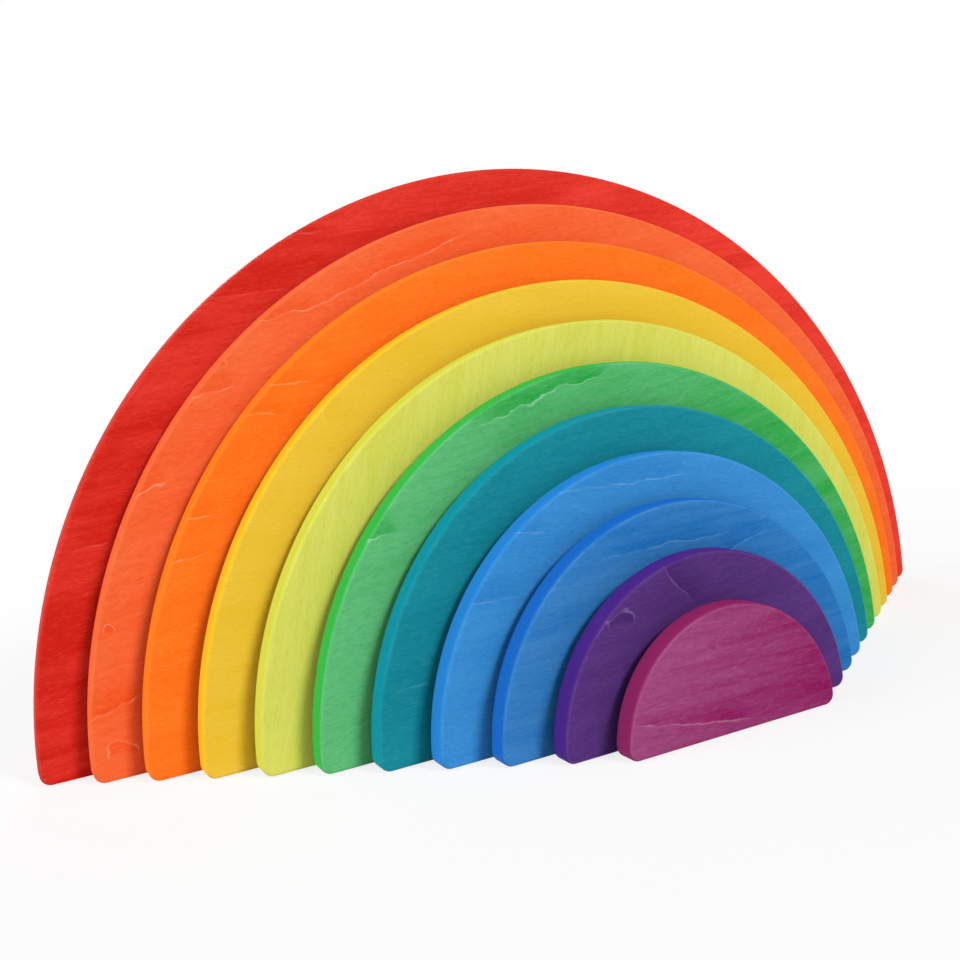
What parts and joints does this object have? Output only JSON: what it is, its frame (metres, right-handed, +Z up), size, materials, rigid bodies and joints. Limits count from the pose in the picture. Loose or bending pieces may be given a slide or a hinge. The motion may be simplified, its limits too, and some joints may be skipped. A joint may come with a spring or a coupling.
{
  "type": "rainbow stacker",
  "caption": "Graded set of loose solid half-round wooden boards in rainbow stains, standing in a pack on their straight edges; each board lifts out for stacking and building.",
  "frame": {"origin": "on the floor, under the middle of the pack's box", "axes": "+X along the boards' straight edges, +Y through the pack towards the largest board, +Z up"},
  "size_m": [0.36, 0.1106, 0.18],
  "materials": {
    "red_stain": "satin stain",
    "coral_stain": "satin stain",
    "orange_stain": "satin stain",
    "yellow_stain": "satin stain",
    "lime_stain": "satin stain",
    "green_stain": "satin stain",
    "teal_stain": "satin stain",
    "sky_stain": "satin stain",
    "blue_stain": "satin stain",
    "violet_stain": "satin stain",
    "plum_stain": "satin stain"
  },
  "bodies": {
    "red": {"red_board": "red_stain"},
    "coral": {"coral_board": "coral_stain"},
    "orange": {"orange_board": "orange_stain"},
    "yellow": {"yellow_board": "yellow_stain"},
    "lime": {"lime_board": "lime_stain"},
    "green": {"green_board": "green_stain"},
    "teal": {"teal_board": "teal_stain"},
    "sky": {"sky_board": "sky_stain"},
    "blue": {"blue_board": "blue_stain"},
    "violet": {"violet_board": "violet_stain"},
    "plum": {"plum_board": "plum_stain"}
  },
  "joints": [
    {"name": "coral_lift", "type": "slide", "parent": "red", "child": "coral", "axis": [0, 0, 1], "range_m": [0, 0.19]},
    {"name": "orange_lift", "type": "slide", "parent": "red", "child": "orange", "axis": [0, 0, 1], "range_m": [0, 0.19]},
    {"name": "yellow_lift", "type": "slide", "parent": "red", "child": "yellow", "axis": [0, 0, 1], "range_m": [0, 0.19]},
    {"name": "lime_lift", "type": "slide", "parent": "red", "child": "lime", "axis": [0, 0, 1], "range_m": [0, 0.19]},
    {"name": "green_lift", "type": "slide", "parent": "red", "child": "green", "axis": [0, 0, 1], "range_m": [0, 0.19]},
    {"name": "teal_lift", "type": "slide", "parent": "red", "child": "teal", "axis": [0, 0, 1], "range_m": [0, 0.19]},
    {"name": "sky_lift", "type": "slide", "parent": "red", "child": "sky", "axis": [0, 0, 1], "range_m": [0, 0.19]},
    {"name": "blue_lift", "type": "slide", "parent": "red", "child": "blue", "axis": [0, 0, 1], "range_m": [0, 0.19]},
    {"name": "violet_lift", "type": "slide", "parent": "red", "child": "violet", "axis": [0, 0, 1], "range_m": [0, 0.19]},
    {"name": "plum_lift", "type": "slide", "parent": "red", "child": "plum", "axis": [0, 0, 1], "range_m": [0, 0.19]}
  ]
}
